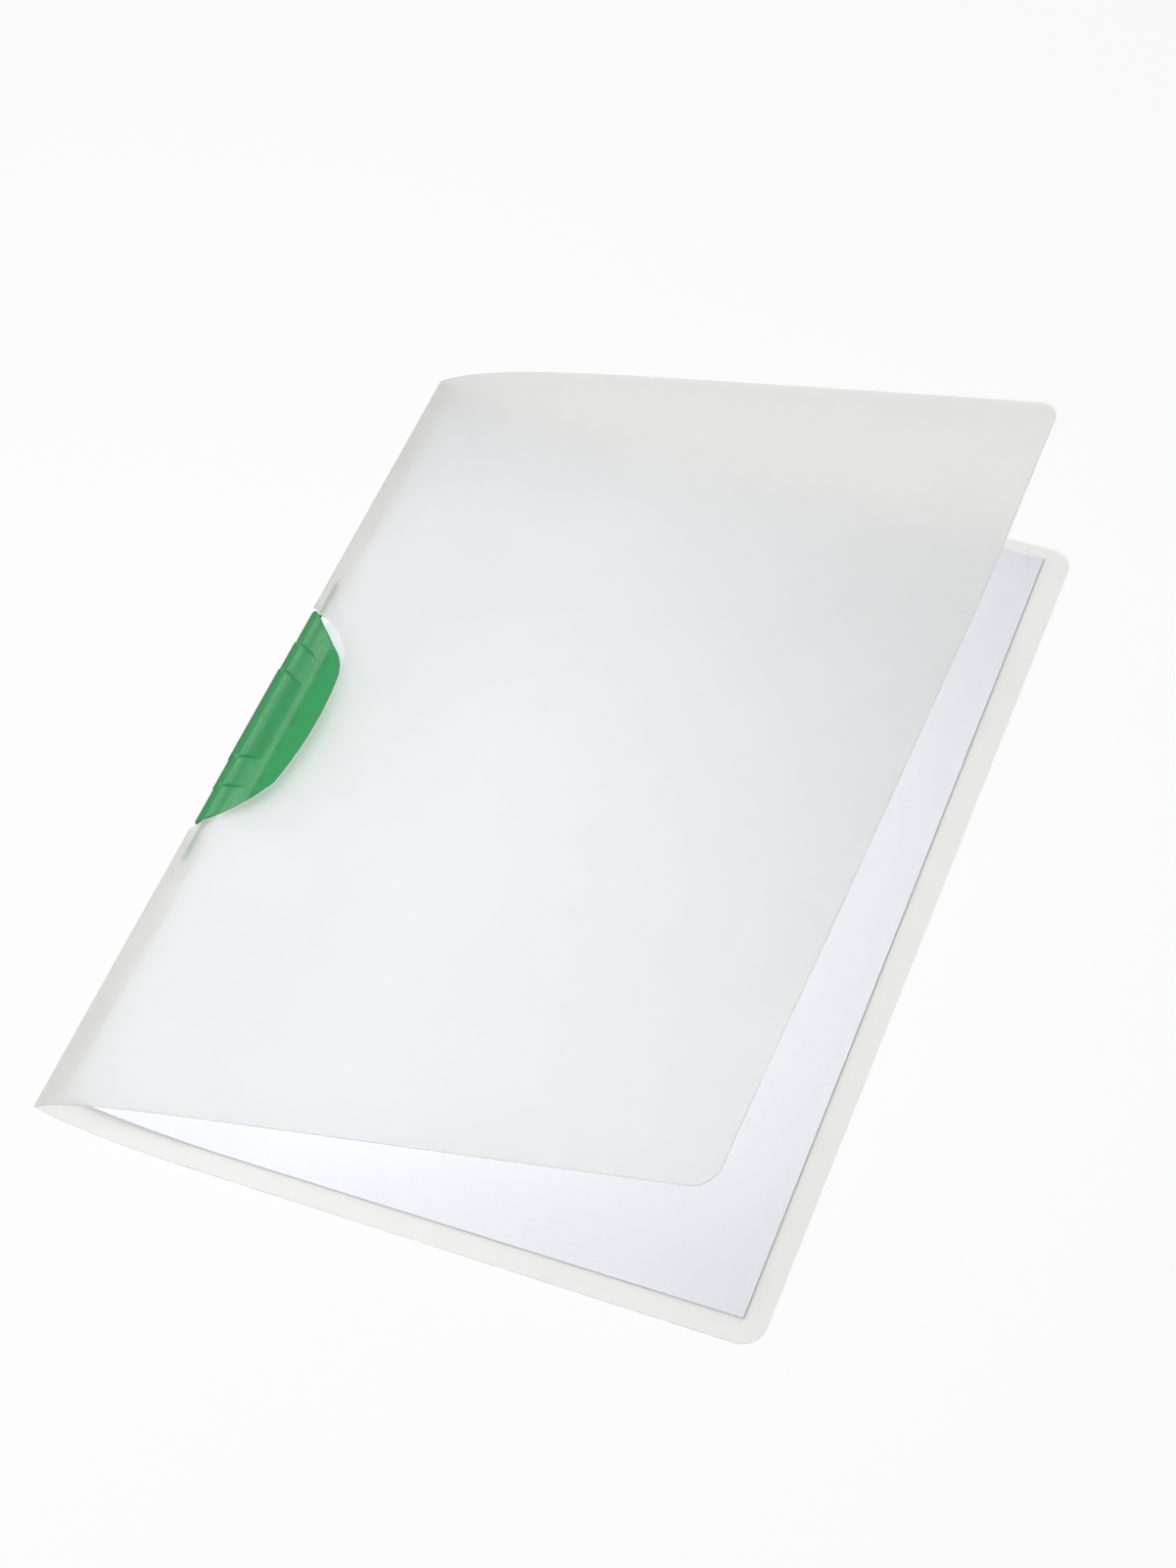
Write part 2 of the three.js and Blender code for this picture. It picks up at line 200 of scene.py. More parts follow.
class FilmSettings(bpy.types.PropertyGroup):
    thickness: FloatProperty(
        name="Film thickness", description="Thickness of the polypropylene film",
        default=0.4 * MM, unit="LENGTH", precision=5,
    )
    colour: FloatVectorProperty(
        name="Film colour", description="Tint of the frosted film",
        default=linear("#f0f0ee"), size=3, subtype="COLOR", min=0, max=1,
    )
    clearness: FloatProperty(
        name="Clearness", description="Share of light that each face of the film lets in",
        default=0.84, subtype="FACTOR", min=0, max=1,
    )
    grain: FloatProperty(
        name="Frost grain", description="Size of the frosting's grain",
        default=0.7 * MM, unit="LENGTH", precision=5,
    )


class PaperSettings(bpy.types.PropertyGroup):
    sheets: IntProperty(name="Sheets", description="How many sheets lie in the folder", default=5, min=1)
    stack: FloatProperty(
        name="Stack height", description="Height of the sheets together",
        default=PAPER_STACK, unit="LENGTH", precision=5,
    )
    colour: FloatVectorProperty(
        name="Paper colour", description="Colour of the office paper",
        default=linear("#eceef3"), size=3, subtype="COLOR", min=0, max=1,
    )


class ClipSettings(bpy.types.PropertyGroup):
    colour: FloatVectorProperty(
        name="Plastic colour", description="Colour of the moulded clip",
        default=linear("#1c904c"), size=3, subtype="COLOR", min=0, max=1,
    )
    texture: FloatProperty(
        name="Mould texture", description="Grain of the spark-eroded mould surface",
        default=0.45 * MM, unit="LENGTH", precision=5,
    )
    rim: FloatProperty(
        name="Rim rounding", description="Rounding of the jaw's edges",
        default=0.5 * MM, unit="LENGTH", precision=5,
    )


class StageSettings(bpy.types.PropertyGroup):
    floor_size: FloatProperty(
        name="Floor size", description="Side of the pale floor", default=6.0, unit="LENGTH",
    )
    floor_colour: FloatVectorProperty(
        name="Floor colour", description="Colour of the floor and backdrop",
        default=linear("#ffffff"), size=3, subtype="COLOR", min=0, max=1,
    )


class FolderSettings(bpy.types.PropertyGroup):
    film: PointerProperty(type=FilmSettings)
    paper: PointerProperty(type=PaperSettings)
    clip: PointerProperty(type=ClipSettings)
    stage: PointerProperty(type=StageSettings)


def add_node(tree, kind, inputs=None, **settings):
    """Adds a node, sets its own settings, and sets or links its inputs."""
    node = tree.nodes.new(kind)
    for name, value in settings.items():
        setattr(node, name, value)
    for name, value in (inputs or {}).items():
        if isinstance(value, bpy.types.NodeSocket):
            tree.links.new(value, node.inputs[name])
        else:
            node.inputs[name].default_value = value
    return node


def new_material(name):
    """An empty node material, its tree and its output node."""
    material = bpy.data.materials.new(name)
    material.use_nodes = True
    material.node_tree.nodes.clear()
    return material, material.node_tree, add_node(material.node_tree, "ShaderNodeOutputMaterial")


def rgba(colour, level=1.0):
    return (colour[0] * level, colour[1] * level, colour[2] * level, 1.0)


def shade_range(tree, fac, colour, low, high):
    """Colour that goes from low to high times the given one as fac goes from 0 to 1."""
    ends = {0: fac, 6: rgba(colour, low), 7: rgba(colour, high)}
    return add_node(tree, "ShaderNodeMix", ends, data_type="RGBA").outputs[2]


def multiply(tree, share, colour, tint):
    """The colour, times the tint by the given share."""
    parts = {0: share, 6: colour, 7: tint}
    return add_node(tree, "ShaderNodeMix", parts, data_type="RGBA", blend_type="MULTIPLY").outputs[2]


def lamps_through(tree, surface, tint):
    """The surface, but lamps shine through it with a tint instead of leaving a solid shadow."""
    through = add_node(tree, "ShaderNodeBsdfTransparent", {"Color": tint})
    path = add_node(tree, "ShaderNodeLightPath")
    mix = add_node(tree, "ShaderNodeMixShader", {
        0: path.outputs["Is Shadow Ray"], 1: surface, 2: through.outputs[0],
    })
    return mix.outputs[0]


def frosted_film(settings):
    """Polypropylene film, extruded and frosted by a matt roller: a milky sheet with a soft sheen
    that shows what touches it sharply and blurs what lies further behind."""
    material, tree, output = new_material("polypropylene_film_frosted")
    place = add_node(tree, "ShaderNodeTexCoord").outputs["Object"]
    frost = add_node(tree, "ShaderNodeTexNoise", {
        "Vector": place, "Scale": 1 / settings.grain, "Detail": 3.0, "Roughness": 0.6,
    })
    cloud = add_node(tree, "ShaderNodeTexNoise", {"Vector": place, "Scale": 1 / CLOUD_SIZE, "Detail": 2.0})
    both = add_node(tree, "ShaderNodeMath", {0: frost.outputs["Fac"], 1: cloud.outputs["Fac"]})
    half = add_node(tree, "ShaderNodeMath", {0: both.outputs[0], 1: 0.5}, operation="MULTIPLY")
    bump = add_node(tree, "ShaderNodeBump", {
        "Height": frost.outputs["Fac"], "Strength": 0.25, "Distance": 0.03 * MM,
    })
    film = add_node(tree, "ShaderNodeBsdfPrincipled", {
        "Base Color": shade_range(tree, half.outputs[0], settings.colour, 0.94, 1.0),
        "Roughness": 0.36, "IOR": 1.49, "Transmission Weight": settings.clearness,
        "Normal": bump.outputs["Normal"],
    })
    surface = lamps_through(tree, film.outputs[0], (0.85, 0.85, 0.86, 1.0))
    tree.links.new(surface, output.inputs["Surface"])
    return material


def office_paper(settings):
    """Uncoated office paper, calendered: matt, faintly bluish white, with a fine cloud of fibres."""
    material, tree, output = new_material("office_paper_uncoated")
    place = add_node(tree, "ShaderNodeTexCoord").outputs["Object"]
    fibre = add_node(tree, "ShaderNodeTexNoise", {
        "Vector": place, "Scale": 1 / FIBRE_SIZE, "Detail": 5.0, "Roughness": 0.65,
    })
    bump = add_node(tree, "ShaderNodeBump", {
        "Height": fibre.outputs["Fac"], "Strength": 0.3, "Distance": 0.02 * MM,
    })
    paper = add_node(tree, "ShaderNodeBsdfPrincipled", {
        "Base Color": shade_range(tree, fibre.outputs["Fac"], settings.colour, 0.93, 1.0),
        "Roughness": 0.88, "IOR": 1.45, "Normal": bump.outputs["Normal"],
    })
    tree.links.new(paper.outputs[0], output.inputs["Surface"])
    return material


def painted_contact_shade(tree, place, colour):
    """The colour with painted shade: darker patches along the line where the jaw presses on the paper."""
    across = add_node(tree, "ShaderNodeSeparateXYZ", {"Vector": place}).outputs["X"]
    off = add_node(tree, "ShaderNodeMath", {0: across, 1: FOLD.x + JAW_CONTACT}, operation="SUBTRACT")
    away = add_node(tree, "ShaderNodeMath", {0: off.outputs[0]}, operation="ABSOLUTE")
    near = add_node(tree, "ShaderNodeMapRange", {
        "Value": away.outputs[0], "From Min": CONTACT_SHADE_HALF, "From Max": CONTACT_SHADE_FADE, "To Min": 1.0, "To Max": 0.0,
    })
    patch = add_node(tree, "ShaderNodeTexNoise", {"Vector": place, "Scale": 1 / CONTACT_SHADE_PATCH, "Detail": 2.0})
    share = add_node(tree, "ShaderNodeMapRange", {
        "Value": patch.outputs["Fac"], "From Min": 0.5, "From Max": 0.62, "To Min": 0.0, "To Max": 1.0,
    })
    contact_shade = add_node(tree, "ShaderNodeMath", {0: near.outputs[0], 1: share.outputs[0]}, operation="MULTIPLY")
    return multiply(tree, contact_shade.outputs[0], colour, (0.86, 0.86, 0.9, 1.0))


def painted_fold_shade(tree, normal, colour):
    """The colour with painted shade: darker on the barrel's side that faces the fold, by its object-space
    normal.
    """
    facing = add_node(tree, "ShaderNodeSeparateXYZ", {"Vector": normal})
    fold_shade_share = add_node(tree, "ShaderNodeMapRange", {
        "Value": facing.outputs["X"], "From Min": -0.15, "From Max": -0.85, "To Min": 1.0, "To Max": 0.12,
    }, interpolation_type="SMOOTHSTEP")
    return multiply(tree, 1.0, colour, fold_shade_share.outputs[0])


def moulded_plastic(settings, name, contact):
    """Dyed polypropylene, injection moulded in a spark-eroded mould: saturated green with a soft,
    grainy highlight, and thin enough to throw a green shadow. Its colour carries painted shade on the
    barrel's side in the fold; contact says that it presses on paper, which adds painted shade along that
    line."""
    material, tree, output = new_material(name)
    texture = add_node(tree, "ShaderNodeTexCoord")
    place = texture.outputs["Object"]
    grain = add_node(tree, "ShaderNodeTexNoise", {
        "Vector": place, "Scale": 1 / settings.texture, "Detail": 2.0, "Roughness": 0.6,
    })
    colour = shade_range(tree, grain.outputs["Fac"], settings.colour, 0.90, 1.06)
    if contact:
        # painted shade: darker patches along the line where the jaw meets the paper
        colour = painted_contact_shade(tree, place, colour)
    bump = add_node(tree, "ShaderNodeBump", {
        "Height": grain.outputs["Fac"], "Strength": 0.8, "Distance": 0.08 * MM,
    })
    # base colour with painted shade on the barrel's side that faces the fold
    plastic = add_node(tree, "ShaderNodeBsdfPrincipled", {
        "Base Color": painted_fold_shade(tree, texture.outputs["Normal"], colour),
        "Roughness": 0.27, "IOR": 1.49, "Normal": bump.outputs["Normal"],
    })
    surface = lamps_through(tree, plastic.outputs[0], (0.70, 0.96, 0.78, 1.0))
    tree.links.new(surface, output.inputs["Surface"])
    return material


def mesh_object(name, points, faces, material, sharp=35):
    """A mesh object with its faces pointing out, smooth but for edges sharper than the given angle."""
    mesh = bpy.data.meshes.new(name)
    mesh.from_pydata(points, [], faces)
    work = bmesh.new()
    work.from_mesh(mesh)
    bmesh.ops.remove_doubles(work, verts=work.verts, dist=0.0005 * MM)
    bmesh.ops.holes_fill(work, edges=[edge for edge in work.edges if edge.is_boundary], sides=0)
    bmesh.ops.recalc_face_normals(work, faces=work.faces)
    work.to_mesh(mesh)
    work.free()
    mesh.shade_smooth()
    mesh.set_sharp_from_angle(angle=math.radians(sharp))
    mesh.materials.append(material)
    thing = bpy.data.objects.new(name, mesh)
    bpy.context.scene.collection.objects.link(thing)
    return thing


def smoothstep(value):
    value = np.clip(value, 0, 1)
    return value * value * (3 - 2 * value)


def lerp(a, b, share):
    return a + (b - a) * share


class Section:
    """A curve in X and Z whose slope is known at every distance s from the fold."""

    def __init__(self, angle_at, start_z):
        count = round(SHEET_WIDTH / CURVE_STEP)
        self.s = np.linspace(0, SHEET_WIDTH, count + 1)
        middle = angle_at((self.s[:-1] + self.s[1:]) / 2)
        self.x = np.concatenate([[0], np.cumsum(np.cos(middle) * CURVE_STEP)])
        self.z = start_z + np.concatenate([[0], np.cumsum(np.sin(middle) * CURVE_STEP)])
        self.angle = angle_at(self.s)

    def at(self, s, offset):
        """Points at distances s, moved off the curve by offset, in X and Z."""
        angle = np.interp(s, self.s, self.angle)
        x = np.interp(s, self.s, self.x) - np.sin(angle) * offset
        z = np.interp(s, self.s, self.z) + np.cos(angle) * offset
        return x, z


def back_angle(s):
    return -3 * (FOLD_RISE / RISE_LENGTH) * np.maximum(1 - s / RISE_LENGTH, 0) ** 2


BACK = Section(back_angle, FOLD.z)


def front_curve(y):
    """The front cover's section at y, measured from the middle."""
    along = (y + SHEET_LENGTH / 2) / SHEET_LENGTH
    held = 1 - smoothstep((abs(y) - HELD_HALF) / HELD_FADE)
    rest = lerp(NEAR_ANGLE, FAR_ANGLE, along) + HELD_LIFT * held
    relax = lerp(lerp(NEAR_RELAX, FAR_RELAX, along), HELD_RELAX, held)
    return Section(lambda s: np.radians(rest + KICK_ANGLE * np.exp(-s / relax)), FOLD.z)


def bezier(points, shares):
    """Points of a quadratic or cubic Bezier curve."""
    points = np.array(points, float)
    shares = np.array(shares, float)[:, None]
    while len(points) > 1:
        points = [lerp(a, b, shares) for a, b in zip(points[:-1], points[1:])]
    return points[0]


def window_profile():
    """Half of the window's edge as rows of [distance from the fold, distance from the middle]."""
    rows = [
        (FOLD_GAP, WINDOW_HALF + WINDOW_FLARE), (FOLD_GAP + NOTCH_START, WINDOW_HALF),
        (NOTCH_STEP, WINDOW_HALF - NOTCH_SLANT), WINDOW_SHOULDER,
    ]
    flank = (WINDOW_SHOULDER, WINDOW_BEND, WINDOW_CORNER)
    round_end = (WINDOW_CORNER, (WINDOW_REACH, WINDOW_CORNER[1] / 2), (WINDOW_REACH, 0))
    for curve in (flank, round_end):
        rows += list(bezier(curve, np.linspace(0, 1, 17)[1:]))
    return np.array(rows)


def slot_profile():
    """Half of the slot's edge, as rows of the same kind."""
    return np.array([
        (FOLD_GAP, WINDOW_HALF + WINDOW_FLARE), (SLOT_DEPTH - SLOT_CHAMFER, WINDOW_HALF),
        (SLOT_DEPTH, WINDOW_HALF - SLOT_CHAMFER), (SLOT_DEPTH, 0),
    ])


def film_rows(window, slot):
    """Distances from the middle at which the film's mesh has a row, from near to far."""
    half = SHEET_LENGTH / 2
    turns = np.linspace(0, math.pi / 2, 9)
    rows = list(half - CORNER_RADIUS * (1 - np.cos(turns)))
    rows += list(np.linspace(half - CORNER_RADIUS, window[0][1], 30)[1:-1])
    rows += [row[1] for row in window] + [row[1] for row in slot]
    rows = np.unique(np.round(rows, 7))
    return np.concatenate([-rows[::-1], rows[rows > 0]])


def free_end(y):
    """How far the film reaches from the fold at y: less in the rounded corners."""
    inset = np.clip(CORNER_RADIUS - (SHEET_LENGTH / 2 - abs(y)), 0, CORNER_RADIUS)
    return SHEET_WIDTH - CORNER_RADIUS + math.sqrt(max(CORNER_RADIUS ** 2 - inset ** 2, 0))


def start_at(profile, y):
    """Where the film starts at y, from a window's or slot's half profile."""
    order = np.argsort(profile[:, 1], kind="stable")
    return np.interp(abs(y), profile[order, 1], profile[order, 0])


def film_mesh(thickness):
    """Points and faces of the folded film with its window and slot."""
    window = window_profile()
    slot = slot_profile()
    rows = film_rows(window, slot)
    back_share = np.linspace(1, 0, 45) ** 1.5
    front_share = np.linspace(0, 1, 61) ** 1.5
    fold_turn = np.linspace(0, 1, 9)[1:-1]
    columns = len(back_share) + len(fold_turn) + len(front_share)
    grids = []
    for side in (-0.5, 0.5):
        grid = np.zeros((len(rows), columns, 3))
        for j, y in enumerate(rows):
            offset = side * thickness
            front = front_curve(y)
            back_s = lerp(start_at(slot, y), free_end(y), back_share)
            front_s = lerp(start_at(window, y), free_end(y), front_share)
            back_x, back_z = BACK.at(back_s, -offset)
            front_x, front_z = front.at(front_s, offset)
            control = np.array([-FOLD_BULGE - 2 * offset, FOLD.z])
            ends = [(back_x[-1], back_z[-1]), control, (front_x[0], front_z[0])]
            fold = bezier(ends, fold_turn)
            grid[j, :, 0] = FOLD.x + np.concatenate([back_x, fold[:, 0], front_x])
            grid[j, :, 1] = y
            grid[j, :, 2] = np.concatenate([back_z, fold[:, 1], front_z])
        grids.append(grid)
    open_from, open_to = len(back_share) - 1, len(back_share) + len(fold_turn)
    widest = window[0][1] + SLACK
    solid = np.ones((len(rows) - 1, columns - 1), bool)
    for j in range(len(rows) - 1):
        if max(abs(rows[j]), abs(rows[j + 1])) <= widest:
            solid[j, open_from:open_to] = False
    return shell(grids[0], grids[1], solid)


def shell(lower, upper, solid):
    """Points and faces of a closed sheet between two grids, where solid says which cells exist."""
    rows, columns, _ = lower.shape
    layer = rows * columns
    points = np.concatenate([lower.reshape(-1, 3), upper.reshape(-1, 3)])
    faces = []
    padded = np.pad(solid, 1)
    for j, i in zip(*np.nonzero(solid)):
        a = int(j * columns + i)
        b, c, d = a + 1, a + columns + 1, a + columns
        faces.append((a, d, c, b))
        faces.append((layer + a, layer + b, layer + c, layer + d))
        beside = (
            (padded[j, i + 1], a, b), (padded[j + 1, i + 2], b, c),
            (padded[j + 2, i + 1], c, d), (padded[j + 1, i], d, a),
        )
        for there, p, q in beside:
            if not there:
                faces.append((p, q, layer + q, layer + p))
    used = np.unique(np.concatenate([np.array(face) for face in faces]))
    place = {int(old): new for new, old in enumerate(used)}
    return points[used].tolist(), [tuple(place[p] for p in face) for face in faces]


def paper_underside(x, film):
    """Height of the paper's underside at x from the fold: over the clip's plate, then on the film."""
    reach = BACK.x[-1]
    _, top = BACK.at(x / reach * SHEET_WIDTH, film / 2)
    lifted = 1 - smoothstep((x - PAPER_LIFT_END) / PAPER_SETTLE)
    return top + REST_GAP + (PLATE_THICKNESS + REST_GAP) * lifted


def paper_mesh(settings, film):
    """Points and faces of the sheets, each a little off the one below it."""
    rng = np.random.default_rng(7)
    across = np.linspace(0, 1, 60) ** 1.3
    along = np.linspace(0, 1, 40)
    pitch = settings.stack / settings.sheets
    points = []
    faces = []
    for sheet in range(settings.sheets):
        below = settings.sheets - 1 - sheet
        shift = rng.uniform(-SHEET_SHIFT, SHEET_SHIFT, 2) * min(below, 1)
        s, t = np.meshgrid(PAPER_WIDTH * across - PAPER_WIDTH, PAPER_LENGTH * along)
        x = PAPER_RIGHT + shift[0] + s * math.cos(PAPER_TURN) - t * math.sin(PAPER_TURN)
        y = PAPER_BOTTOM + shift[1] + s * math.sin(PAPER_TURN) + t * math.cos(PAPER_TURN)
        low = paper_underside(x, film) + pitch * sheet
        grids = []
        for z in (low, low + pitch * SHEET_SHARE):
            grids.append(np.stack([FOLD.x + x, NEAR_Y + y, z], axis=-1))
        more, more_faces = shell(grids[0], grids[1], np.ones((len(along) - 1, len(across) - 1), bool))
        faces += [tuple(p + len(points) for p in face) for face in more_faces]
        points += more
    return points, faces


def jaw_outline():
    """Half of the jaw's half-moon outline as [x, distance from the middle], from the fold outwards."""
    flank = np.array([JAW_CORNER - JAW_SHOULDER, JAW_CORNER_HALF - JAW_HALF])
    flank *= JAW_ROUND / np.linalg.norm(flank)
    corner = np.array([JAW_CORNER, JAW_CORNER_HALF])
    after = np.array([JAW_CORNER + JAW_TURN, JAW_CORNER_HALF - JAW_ROUND])
    tip = np.array([JAW_REACH, 0])
    rows = [np.array([-BARREL_RADIUS, JAW_HALF]), np.array([JAW_SHOULDER, JAW_HALF])]
    rows += list(bezier([corner - flank, corner, after], np.linspace(0, 1, 9)))
    rows += list(bezier([after, (JAW_REACH, after[1] / 2), tip], np.linspace(0, 1, 25)[1:]))
    return np.array(rows)


def edge_distance(x, y, outline):
    """Distance of each point from the outline, in the plane."""
    whole = np.concatenate([outline, (outline * [1, -1])[::-1]])
    best = np.full(x.shape, np.inf)
    for (ax, ay), (bx, by) in zip(whole[:-1], whole[1:]):
        dx, dy = bx - ax, by - ay
        length = dx * dx + dy * dy
        if length == 0:
            continue
        share = np.clip(((x - ax) * dx + (y - ay) * dy) / length, 0, 1)
        best = np.minimum(best, np.hypot(x - ax - share * dx, y - ay - share * dy))
    return best


def jaw_section(film):
    """The jaw's section as stations: [outer point, middle point, share of the band step]. The loop
    goes over the barrel, along the wall to the lip, back below it, round the arm and the bore."""
    centre = np.array([PIN.x - FOLD.x, PIN.z])
    lowest = BARREL_RADIUS - len(BAND_HALVES) * BAND_STEP

    def polar(radius, degrees):
        return centre + radius * np.array([math.cos(math.radians(degrees)), math.sin(math.radians(degrees))])

    contact_z = paper_underside(np.array([JAW_CONTACT]), film)[0] + PAPER_STACK + REST_GAP + JAW_WALL / 2
    contact = np.array([JAW_CONTACT, contact_z])
    leave = polar(BARREL_RADIUS - JAW_WALL / 2, BARREL_LEAVE)
    drop = LEAVE_RUN * math.tan(math.radians(90 - BARREL_LEAVE))
    fall = [leave, leave + [LEAVE_RUN, -drop], contact + CONTACT_BEFORE, contact]
    lip = [
        contact, contact + CONTACT_AFTER,
        (JAW_REACH - JAW_LIP_RUN, contact_z + JAW_LIP * JAW_LIP_SAG),
        (JAW_REACH + JAW_OVERRUN, contact_z + JAW_LIP),
    ]
    fall_t = np.linspace(0, 1, 29)
    lip_t = 1 - (1 - np.linspace(0, 1, 31)[1:]) ** 1.7
    middle = np.concatenate([bezier(fall, fall_t), bezier(lip, lip_t)])
    faded = 1 - smoothstep((fall_t - BAND_FULL) / (BAND_FADE - BAND_FULL))
    step = np.concatenate([faded, np.zeros(len(lip_t))])
    middle = middle[middle[:, 0] < JAW_REACH]
    middle = np.concatenate([middle, [[JAW_REACH, np.interp(JAW_REACH, middle[:, 0], middle[:, 1])]]])
    step = step[:len(middle)]
    tangent = np.gradient(middle, axis=0)
    normal = np.stack([-tangent[:, 1], tangent[:, 0]], axis=1) / np.linalg.norm(tangent, axis=1)[:, None]
    stations = []
    ring_middle = (lowest + BORE_RADIUS) / 2
    for degrees in np.linspace(BARREL_END, BARREL_LEAVE, 33)[:-1]:
        stations.append((polar(lowest, degrees), polar(ring_middle, degrees), 1.0))
    for m, n, share in zip(middle, normal, step):
        lowered = JAW_WALL / 2 - share * len(BAND_HALVES) * BAND_STEP
        stations.append((m + n * lowered, m, share))
    below = [(m - n * JAW_WALL / 2, m) for m, n in zip(middle, normal)][::-1]
    below = [pair for pair in below if np.linalg.norm(pair[0] - centre) > lowest]
    stations += [(outer, m, 0.0) for outer, m in below]
    away = below[-1][0] - centre
    meet = math.degrees(math.atan2(away[1], away[0]))
    for degrees in np.linspace(meet, BARREL_START, 9)[1:]:
        stations.append((polar(lowest, degrees), polar(ring_middle, degrees), 0.0))
    for degrees in np.linspace(BARREL_START, BARREL_END, 41):
        stations.append((polar(BORE_RADIUS, degrees), polar(ring_middle, degrees), 0.0))
    return stations


def jaw_mesh(settings, film):
    """Points and faces of the jaw: its section drawn along the fold, out to the half-moon outline."""
    outline = jaw_outline()
    stations = jaw_section(film)
    outer = np.array([station[0] for station in stations])
    middle = np.array([station[1] for station in stations])
    share = np.array([station[2] for station in stations])
    order = np.argsort(outline[:, 0], kind="stable")
    reach = np.interp(middle[:, 0], outline[order, 0], outline[order, 1])
    reach = np.maximum(reach, JAW_TIP_HALF)
    edge = np.minimum(BAND_EDGE, 0.05 * reach)

    def boundary(half):
        there = half - BAND_SLOPE * middle[:, 0]
        bend = np.interp(BAND_STRAIGHT, outline[order, 0], outline[order, 1])
        fixed = (half - BAND_SLOPE * BAND_STRAIGHT) / bend
        return np.where(middle[:, 0] < BAND_STRAIGHT, there, fixed * reach)

    wide, narrow = boundary(BAND_HALVES[0]), boundary(BAND_HALVES[1])
    zero = np.zeros_like(reach)
    rim = settings.rim
    rim_turn = rim * (1 - np.array([0.0, 0.35, 0.62, 0.82, 0.94, 1.0]))
    rows = [(lerp(zero, narrow - edge, t), 2.0) for t in np.linspace(0, 1, 21)]
    rows += [(lerp(narrow - edge, narrow + edge, t), 2.0 - smoothstep(t)) for t in (0.34, 0.67, 1.0)]
    rows += [(lerp(narrow + edge, wide - edge, t), 1.0) for t in np.linspace(0, 1, 13)[1:]]
    rows += [(lerp(wide - edge, wide + edge, t), 1.0 - smoothstep(t)) for t in (0.34, 0.67, 1.0)]
    last = np.maximum(reach - rim, lerp(wide + edge, reach, 0.6))
    rows += [(lerp(wide + edge, last, t), 0.0) for t in np.linspace(0, 1, 15)[1:]]
    rows += [(lerp(last, reach, 1 - left / rim), 0.0) for left in rim_turn[1:]]
    rows = [(-y, raised) for y, raised in rows[:0:-1]] + rows
    grid = []
    for y, raised in rows:
        lift = share * raised * BAND_STEP
        direction = outer - middle
        length = np.linalg.norm(direction, axis=1)
        distance = edge_distance(middle[:, 0], y, outline)
        round_off = (1 - (1 - np.clip(distance / rim, 0, 1)) ** 2.5) ** (1 / 2.5)
        place = middle + direction * ((length + lift) / length * round_off)[:, None]
        grid.append(np.stack([FOLD.x + place[:, 0], y, place[:, 1]], axis=1))
    grid = np.array(grid)
    count, around, _ = grid.shape
    faces = []
    for j in range(count - 1):
        for i in range(around):
            k = (i + 1) % around
            faces.append((j * around + i, j * around + k, (j + 1) * around + k, (j + 1) * around + i))
    return grid.reshape(-1, 3).tolist(), faces


class BuildFilm(bpy.types.Operator):
    """Builds the frosted film cover, one sheet with its fold, window and slot"""

    bl_idname = "clip_folder.build_film"
    bl_label = "Film cover"

    def execute(self, context):
        settings = context.scene.clip_folder.film
        points, faces = film_mesh(settings.thickness)
        cover = mesh_object("film_cover", points, faces, frosted_film(settings))
        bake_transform(cover)
        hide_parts("front_cover", "back_cover")
        return {"FINISHED"}


class BuildPaper(bpy.types.Operator):
    """Builds the sheets of paper on the back cover"""

    bl_idname = "clip_folder.build_paper"
    bl_label = "Paper sheets"

    def execute(self, context):
        settings = context.scene.clip_folder
        points, faces = paper_mesh(settings.paper, settings.film.thickness)
        stack = mesh_object("paper_stack", points, faces, office_paper(settings.paper))
        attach(stack, "back")
        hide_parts("paper_sheets")
        return {"FINISHED"}


class BuildClip(bpy.types.Operator):
    """Builds the clip's jaw and finishes its base"""

    bl_idname = "clip_folder.build_clip"
    bl_label = "Clip"

    def execute(self, context):
        settings = context.scene.clip_folder
        points, faces = jaw_mesh(settings.clip, settings.film.thickness)
        plastic = moulded_plastic(settings.clip, "polypropylene_green_moulded_jaw", True)
        jaw = mesh_object("jaw", points, faces, plastic, sharp=60)
        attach(jaw, "jaw")
        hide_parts("clip_jaw")
        base = frame["nodes"]["clip_base"]
        base.data.materials.clear()
        plastic = moulded_plastic(settings.clip, "polypropylene_green_moulded_base", False)
        base.data.materials.append(plastic)
        return {"FINISHED"}


def straight_from_camera(tree):
    """1 for rays that come from the camera, straight or by way of gloss and clear film, and 0 for
    rays that carry light on from a matt surface."""
    path = add_node(tree, "ShaderNodeLightPath")
    seen = path.outputs["Is Camera Ray"]
    for kind in ("Is Glossy Ray", "Is Transmission Ray"):
        either = {0: seen, 1: path.outputs[kind]}
        seen = add_node(tree, "ShaderNodeMath", either, operation="MAXIMUM").outputs[0]
    bounces = {0: path.outputs["Diffuse Depth"], 1: 0.5}
    direct = add_node(tree, "ShaderNodeMath", bounces, operation="LESS_THAN").outputs[0]
    return add_node(tree, "ShaderNodeMath", {0: seen, 1: direct}, operation="MULTIPLY").outputs[0]


def backdrop_material(settings):
    """Matt painted board: plain white to the camera, and still darker where the folder shades it."""
    material, tree, output = new_material("painted_board_matt_white")
    board = add_node(tree, "ShaderNodeBsdfDiffuse", {"Color": rgba(settings.floor_colour, FLOOR_SHADE)})
    glow = add_node(tree, "ShaderNodeEmission", {"Color": rgba(settings.floor_colour), "Strength": 1.0})
    seen = straight_from_camera(tree)
    share = add_node(tree, "ShaderNodeMath", {0: seen, 1: FLOOR_GLOW}, operation="MULTIPLY")
    mix = add_node(tree, "ShaderNodeMixShader", {
        0: share.outputs[0], 1: board.outputs[0], 2: glow.outputs[0],
    })
    tree.links.new(mix.outputs[0], output.inputs["Surface"])
    return material


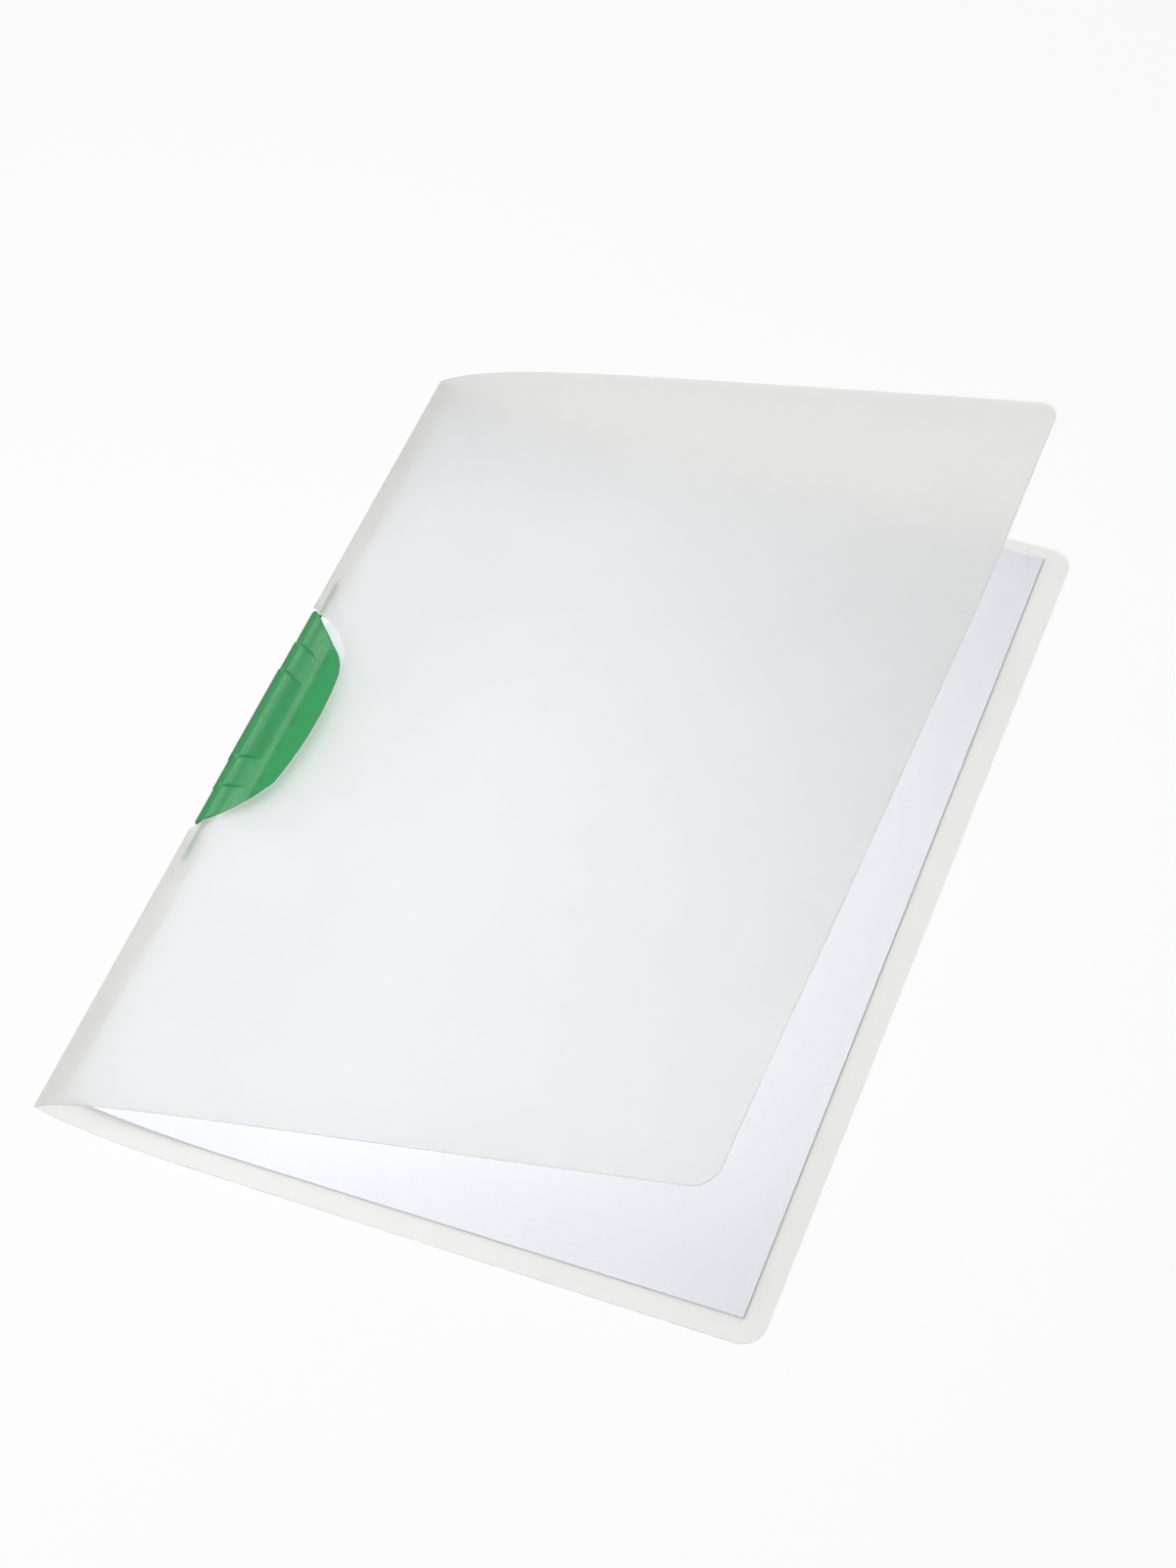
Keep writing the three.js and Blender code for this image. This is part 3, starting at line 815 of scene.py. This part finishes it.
def add_lamp(name, place, aim, size, power):
    """A soft box: a square area lamp at place that faces aim."""
    lamp = bpy.data.lights.new(name, "AREA")
    lamp.shape = "SQUARE"
    lamp.size = size
    lamp.energy = power
    thing = bpy.data.objects.new(name, lamp)
    thing.location = place
    thing.rotation_euler = (Vector(aim) - Vector(place)).to_track_quat("-Z", "Y").to_euler()
    bpy.context.scene.collection.objects.link(thing)
    return thing


class BuildStage(bpy.types.Operator):
    """Builds the floor, the lamps, the white surroundings and the camera"""

    bl_idname = "clip_folder.build_stage"
    bl_label = "Stage"

    def execute(self, context):
        scene = context.scene
        settings = scene.clip_folder.stage
        half = settings.floor_size / 2
        mesh = bpy.data.meshes.new("floor")
        turns = ((-1, -1), (1, -1), (1, 1), (-1, 1))
        corners = [(half * x, half * y, -FLOOR_GAP) for x, y in turns]
        mesh.from_pydata(corners, [], [(0, 1, 2, 3)])
        mesh.materials.append(backdrop_material(settings))
        floor = bpy.data.objects.new("floor", mesh)
        scene.collection.objects.link(floor)

        world = bpy.data.worlds.new("studio")
        scene.world = world
        world.use_nodes = True
        tree = world.node_tree
        tree.nodes.clear()
        level = add_node(tree, "ShaderNodeMapRange", {
            "Value": straight_from_camera(tree), "To Min": AMBIENT, "To Max": 1.0,
        })
        sky = add_node(tree, "ShaderNodeBackground", {"Color": (1, 1, 1, 1), "Strength": level.outputs[0]})
        add_node(tree, "ShaderNodeOutputWorld", {"Surface": sky.outputs[0]})

        for soft_box in SOFT_BOXES:
            add_lamp(*soft_box)

        camera = bpy.data.cameras.new("camera")
        camera.sensor_fit = "AUTO"
        camera.sensor_width = CAMERA_SENSOR
        camera.lens = CAMERA_LENS
        thing = bpy.data.objects.new("camera", camera)
        thing.location = CAMERA_PLACE
        thing.rotation_euler = CAMERA_TURN
        scene.collection.objects.link(thing)
        scene.camera = thing
        scene.view_settings.view_transform = "Standard"
        return {"FINISHED"}


class ClipFolderPanel(bpy.types.Panel):
    """Lists the folder's pieces and their settings"""

    bl_idname = "VIEW3D_PT_clip_folder"
    bl_label = "Clip Folder"
    bl_space_type = "VIEW_3D"
    bl_region_type = "UI"
    bl_category = "Clip Folder"

    def draw(self, context):
        settings = context.scene.clip_folder
        groups = (settings.film, settings.paper, settings.clip, settings.stage)
        for operator, group in zip(OPERATORS, groups):
            box = self.layout.box()
            box.operator(operator.bl_idname)
            for name in group.bl_rna.properties.keys():
                if name not in ("rna_type", "name"):
                    box.prop(group, name)


OPERATORS = (BuildFilm, BuildPaper, BuildClip, BuildStage)
GROUPS = (FilmSettings, PaperSettings, ClipSettings, StageSettings, FolderSettings)
CLASSES = (*GROUPS, *OPERATORS, ClipFolderPanel)


def register():
    for each in CLASSES:
        bpy.utils.register_class(each)
    bpy.types.Scene.clip_folder = PointerProperty(type=FolderSettings)


def unregister():
    del bpy.types.Scene.clip_folder
    for each in reversed(CLASSES):
        bpy.utils.unregister_class(each)


def main():
    register()
    bpy.ops.clip_folder.build_film()
    bpy.ops.clip_folder.build_paper()
    bpy.ops.clip_folder.build_clip()
    bpy.ops.clip_folder.build_stage()


if __name__ == "__main__":
    main()
